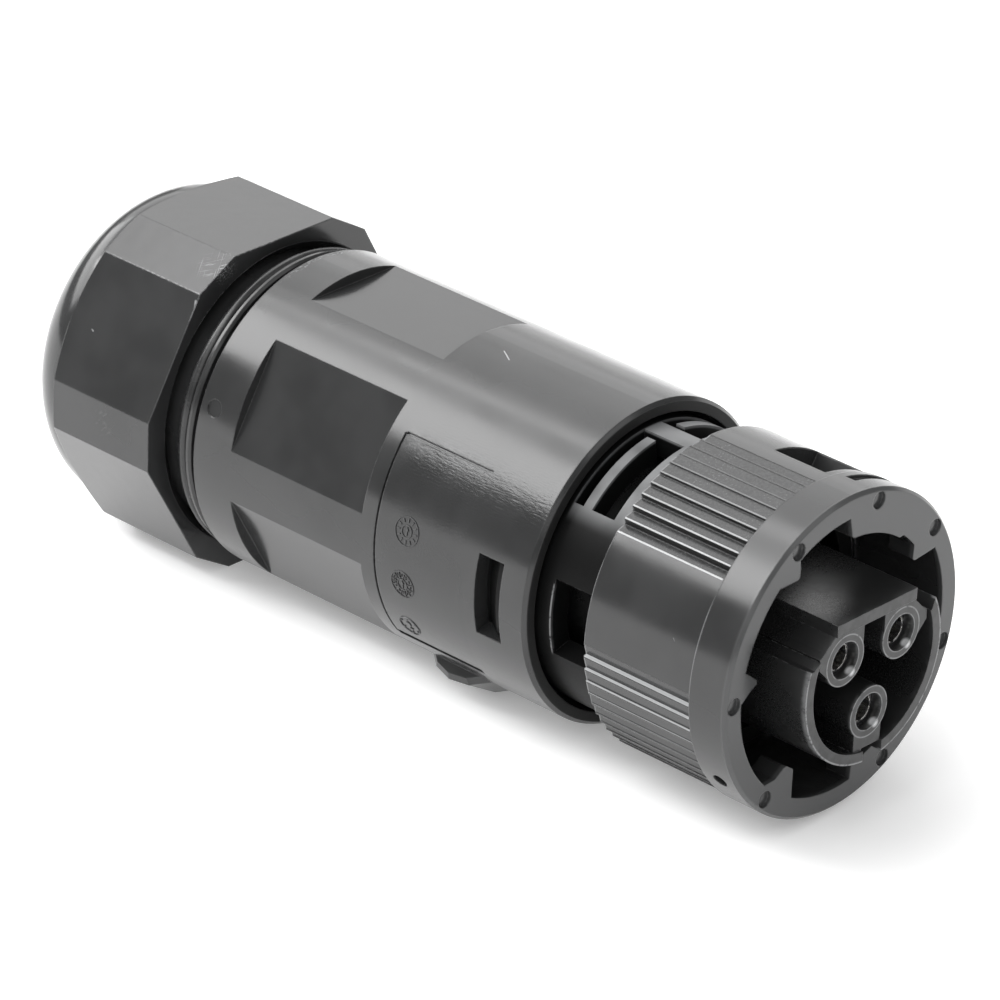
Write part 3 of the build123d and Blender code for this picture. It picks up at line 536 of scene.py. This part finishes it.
def ring_plastic():
    """Satin ring: smooth collar, glossy ridges over dusty groove floors, painted highlights on
    crests and ledges, painted shade on walls, paler front face.
    """
    f = moulded(
        "ring_finish", level=0.021, rough=0.16, edge=0.26 * MM,
        grain=0.25 * MM, relief=0.002 * MM, wear=0.5, peel=0.004 * MM,
    )
    x, angle, out = f.axial(), f.angle(), f.radius()
    grip = f.both(
        f.rise(x, COLLAR_REAR - 0.15 * MM, COLLAR_REAR - 0.45 * MM),
        f.rise(out, RING_OUTSIDE, RING_OUTSIDE + 0.2 * MM),
    )
    upper = f.band(angle, *UPPER_GRIP, 0.1)
    # in the upper grip: dusty floors, ridges painted pale as a highlight, and walls painted dark as
    # shade
    floors = f.both(grip, f.rise(f.facing(GRIP_FACING), 0.90, 0.96))
    dusty = f.both(
        floors,
        upper,
        f.rise(out, GRIP_RADIUS - 0.02 * MM, GRIP_RADIUS - 0.07 * MM),
        f.patches(0.3 * MM, 0.36, 0.70, detail=2, rough=0.7),
    )
    f.tint(dusty, neutral(0.08), 0.35)
    f.dull(dusty, 0.06)
    # painted highlight: ridge crests made pale, more so on the lower ridges
    painted_crest_highlight = f.both(
        grip,
        upper,
        f.rise(out, GRIP_RADIUS - 0.06 * MM, GRIP_RADIUS - 0.02 * MM),
        f.rise(angle, 6, 46),
    )
    f.tint(painted_crest_highlight, neutral(0.42), 0.9)
    # painted shade: groove walls made near black and dull
    painted_wall_shade = f.both(grip, upper, f.rise(f.facing(GRIP_FACING + 90), 0.90, 0.96))
    f.tint(painted_wall_shade, neutral(0.002))
    f.dull(painted_wall_shade, 0.3)
    # in the lower grip: ledges that face up, painted pale as a highlight that fades further down
    painted_ledge_highlight = f.both(floors, f.band(angle, *LOWER_GRIP, 0.3), f.rise(angle, 134, 97))
    f.tint(painted_ledge_highlight, neutral(0.42), 0.85)
    face = f.rise(x, -0.8 * MM, -0.3 * MM)
    f.tint(face, neutral(0.062), 0.8)
    rear = f.both(
        f.rise(x, RING_REAR + 0.20 * MM, RING_REAR + 0.08 * MM),
        f.rise(out, RING_OUTSIDE + 0.5 * MM, RING_OUTSIDE + 0.8 * MM),
        f.patches(3 * MM, 0.3, 0.5),
    )
    f.tint(rear, neutral(0.22), 0.8)
    step = f.both(
        f.band(x, COLLAR_REAR - 0.25 * MM, COLLAR_REAR + 0.05 * MM, 0.04 * MM),
        f.band(angle, 58, 102, 5),
        f.rise(out, RING_OUTSIDE + 0.8 * MM, RING_OUTSIDE + 1.0 * MM),
    )
    f.tint(step, neutral(0.16), 0.7)
    nick = f.line((-9.0, -19.0, 5.6), (-8.7, -19.1, 5.3), 0.12)
    f.mark(nick, neutral(0.1), 0.1, 0.02 * MM)
    return f.done()


def tower_plastic():
    """Dull black insulator with rubbed rims, a faint bloom on top and painted glints in the socket
    mouths.
    """
    f = moulded(
        "tower_finish", level=0.013, rough=0.26, edge=0.14 * MM,
        grain=0.2 * MM, relief=0.002 * MM, wear=0.9, worn_level=0.25,
    )
    bloom = f.both(
        f.spot((-2.0, -3.5, 10.0), 6.0, soft=0.9),
        f.patches(1.5 * MM, 0.35, 0.65, rough=0.6),
    )
    f.tint(bloom, neutral(0.10), 0.6)
    front = f.rise(f.axial(), TOWER_FRONT - 0.9 * MM, TOWER_FRONT - 0.1 * MM)
    f.tint(f.both(front, f.patches(1.8 * MM, 0.40, 0.62, rough=0.6)), neutral(0.05), 0.5)
    f.dull(front, 0.06)
    rubbed = f.patches(1.1 * MM, 0.32, 0.52, rough=0.7)
    rims = [f.band(f.radius(), WALL_RADIUS - 0.2 * MM, WALL_RADIUS, 0.06 * MM)]
    for middle in TUBE_FRONTS:
        gap = f.distance(middle)
        rims.append(f.band(gap, TUBE_RADIUS - 0.16 * MM, TUBE_RADIUS, 0.06 * MM))
        rims.append(f.band(gap, BORE_RADIUS, BORE_RADIUS + 0.12 * MM, 0.05 * MM))
        # painted glint: a pale, smoother spot inside each socket mouth
        painted_glint = f.spot(middle + PAINTED_GLINT_SHIFT, 0.75, soft=0.6)
        f.tint(painted_glint, neutral(0.62), 0.9)
        f.dull(painted_glint, -0.12)
    rim = rims[0]
    for other in rims[1:]:
        rim = f.math("MAXIMUM", rim, other)
    f.tint(f.both(rim, front, rubbed), neutral(0.24), 0.9)
    return f.done()


def dial_plastic():
    """Raised marks of the body, crisper than the rest of it."""
    f = moulded("dial_finish", level=0.030, rough=0.22, edge=0.03 * MM, relief=0.003 * MM, wear=0.7)
    return f.done()


def plain_plastic(name, colour, rough):
    """Inner moulding that hardly shows."""
    f = Finish(name, colour, rough, 0.1 * MM)
    f.tint(f.patches(6 * MM, 0.35, 0.7, detail=4), tuple(part * 1.25 for part in colour))
    fine = f.noise(0.2 * MM, 2)
    f.dull(fine, 0.06)
    f.raise_by(fine, 0.01 * MM)
    return f.done()


def rubber(name, level, rough):
    """Smooth dark seal rubber with a faint bloom."""
    f = Finish(name, neutral(level), rough)
    cloud = f.noise(3 * MM, 4)
    f.tint(f.rise(cloud, 0.35, 0.7), neutral(level * 1.8))
    f.dull(cloud, 0.10)
    f.raise_by(f.noise(0.2 * MM, 2), 0.005 * MM)
    return f.done()


def metal(name, colour, rough):
    """Turned or drawn metal with fine tool marks round its axis."""
    f = Finish(name, colour, rough, 0.08 * MM)
    f.tint(f.patches(1.4 * MM, 0.35, 0.7, detail=4), tuple(part * 0.75 for part in colour))
    marks = f.noise(0.10 * MM, 2, 0.5, along=(0, 1, 1), long=12)
    f.dull(marks, 0.12)
    f.raise_by(marks, 0.004 * MM)
    f.shader.inputs["Metallic"].default_value = 1.0
    return f.done()


def dress():
    """Gives each CAD node its slot's material; the front housing has one of its own, darkened
    partly by painted shade.
    """
    finish = {
        "housing_plastic": body_plastic(),
        "ring_plastic": ring_plastic(),
        "nut_plastic": nut_plastic(),
        "slip_plastic": plain_plastic("slip_finish", (0.45, 0.45, 0.43), 0.4),
        "cage_plastic": plain_plastic("cage_finish", neutral(0.05), 0.42),
        "insulator_plastic": tower_plastic(),
        "seal_rubber": rubber("rubber_finish", 0.016, 0.22),
        "contact_silver": metal("silver_finish", (0.9, 0.89, 0.86), 0.18),
        "spring_steel": metal("spring_finish", (0.42, 0.42, 0.44), 0.3),
        "screw_steel": metal("screw_finish", (0.62, 0.62, 0.63), 0.3),
    }
    own = {"front_housing": neck_plastic()}
    for row in frame["record"]["subparts"]:
        node = frame["nodes"][row["node"]]
        for place in node.material_slots:
            place.material = own.get(row["node"], finish[row["material_slot"]])


# Moulded dials on the label panel, in millimetres: the width of their lines, the heights of
# their top and foot over the body, half the widths of the arrow, and the gap round a month's bar
DIAL_LINE = 0.16
DIAL_HEIGHT = 0.10
DIAL_FOOT = -0.06
ARROW_SHAFT = 0.09
ARROW_HEAD = 0.24
BAR_GAP = 0.12

# Corners of a dial's circle, and the hub's share of its radius
DIAL_STEPS = 48
HUB_SHARE = 0.42

# Corners of the marks that lie closer than this are one
WELD_GAP = 0.0001 * MM

# Name, place along the axis in millimetres, angle, radius in millimetres, and kind
DIALS = (
    ("month_dial", -49.6, 99.5, 1.75, "months"),
    ("mould_dial", -50.4, 119.5, 1.5, "number"),
    ("plain_dial", -49.2, 79.5, 1.8, "ticks"),
)


class Relief:
    """Raised marks on the body's round side, drawn flat in millimetres and wrapped on."""

    def __init__(self, x, angle):
        self.mesh = bmesh.new()
        self.x = x * MM
        self.angle = math.radians(angle)

    def point(self, across, up, height):
        """New vertex: across runs along the axis, up towards the top of the body."""
        angle = self.angle - up * MM / BODY_RADIUS
        radius = BODY_RADIUS + height * MM
        place = (self.x + across * MM, -radius * math.sin(angle), radius * math.cos(angle))
        return self.mesh.verts.new(place)

    def join(self, first, second):
        """Faces between two closed loops of vertices."""
        for corner in range(len(first)):
            after = (corner + 1) % len(first)
            self.mesh.faces.new((first[corner], first[after], second[after], second[corner]))

    def ring(self, radius):
        """Raised circle with sloping sides, closed below the surface."""
        foot, crest = DIAL_LINE / 2, DIAL_LINE / 4
        section = (
            (-foot, DIAL_FOOT), (foot, DIAL_FOOT), (crest, DIAL_HEIGHT), (-crest, DIAL_HEIGHT),
        )
        loops = []
        for step in range(DIAL_STEPS):
            turn = 2 * math.pi * step / DIAL_STEPS
            loops.append([
                self.point((radius + out) * math.cos(turn), (radius + out) * math.sin(turn), height)
                for out, height in section
            ])
        for first, second in zip(loops, loops[1:] + loops[:1]):
            self.join(first, second)

    def plate(self, outline):
        """Raised flat shape with a closed foot."""
        low = [self.point(across, up, DIAL_FOOT) for across, up in outline]
        high = [self.point(across, up, DIAL_HEIGHT) for across, up in outline]
        self.mesh.faces.new(high)
        self.mesh.faces.new(low[::-1])
        self.join(low, high)

    def bar(self, degrees, inner, outer, width=DIAL_LINE):
        """Raised radial tick."""
        turn = math.radians(degrees)
        c, s = math.cos(turn), math.sin(turn)
        corners = ((inner, -width), (outer, -width), (outer, width), (inner, width))
        self.plate([(r * c - w / 2 * s, r * s + w / 2 * c) for r, w in corners])

    def number(self, text, across, up, size):
        """Raised plain number, centred on a place of the dial."""
        data = bpy.data.curves.new("number", "FONT")
        data.body = text
        data.size = size
        data.align_x = "CENTER"
        data.align_y = "CENTER"
        data.resolution_u = 3
        data.extrude = (DIAL_HEIGHT - DIAL_FOOT) / 2
        holder = bpy.data.objects.new("number", data)
        solid = bpy.data.meshes.new_from_object(holder)
        middle = (DIAL_HEIGHT + DIAL_FOOT) / 2
        verts = [
            self.point(v.co.x + across, v.co.y + up, v.co.z + middle) for v in solid.vertices
        ]
        for face in solid.polygons:
            self.mesh.faces.new([verts[index] for index in face.vertices])
        bpy.data.objects.remove(holder)
        bpy.data.curves.remove(data)
        bpy.data.meshes.remove(solid)

    def finish(self, name, material):
        """Turns the marks into a piece that rides with the body."""
        bmesh.ops.remove_doubles(self.mesh, verts=self.mesh.verts, dist=WELD_GAP)
        bmesh.ops.recalc_face_normals(self.mesh, faces=self.mesh.faces)
        mesh = bpy.data.meshes.new(name)
        self.mesh.to_mesh(mesh)
        self.mesh.free()
        mesh.materials.append(material)
        piece = bpy.data.objects.new(name, mesh)
        bpy.context.collection.objects.link(piece)
        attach(piece, "connector_body")


def number_dial(marks, radius):
    """A plain number inside six ticks."""
    marks.number("2", 0, 0, radius * 1.2)
    for step in range(6):
        marks.bar(60 * step + 30, radius * 0.72, radius * 0.9)


def arrow_dial(marks, radius, months):
    """A hub with an arrow, inside twelve numbers or ticks."""
    hub = radius * HUB_SHARE
    marks.ring(hub)
    marks.plate((
        (-ARROW_SHAFT, -hub * 0.7), (ARROW_SHAFT, -hub * 0.7), (ARROW_SHAFT, hub * 0.1),
        (ARROW_HEAD, hub * 0.1), (0, hub * 0.75), (-ARROW_HEAD, hub * 0.1),
        (-ARROW_SHAFT, hub * 0.1),
    ))
    for step in range(12):
        turn = math.radians(30 * step)
        if months:
            middle = (radius + hub) / 2
            across, up = middle * math.sin(turn), middle * math.cos(turn)
            marks.number(str(step + 1), across, up, radius * 0.3)
            marks.bar(30 * step + 15, hub + BAR_GAP, radius - BAR_GAP, DIAL_LINE / 2)
        else:
            marks.bar(30 * step, radius * 0.62, radius * 0.88)


def dial(name, x, angle, radius, kind, material):
    """Generic moulded dial on the label panel."""
    marks = Relief(x, angle)
    marks.ring(radius)
    if kind == "number":
        number_dial(marks, radius)
    else:
        arrow_dial(marks, radius, kind == "months")
    marks.finish(name, material)


camera()
world()
floor()
for light_name, settings in LIGHTS.items():
    softbox(light_name, *settings)
dress()
dial_finish = dial_plastic()
for settings in DIALS:
    dial(*settings, dial_finish)
bpy.context.scene.view_settings.view_transform = "Standard"
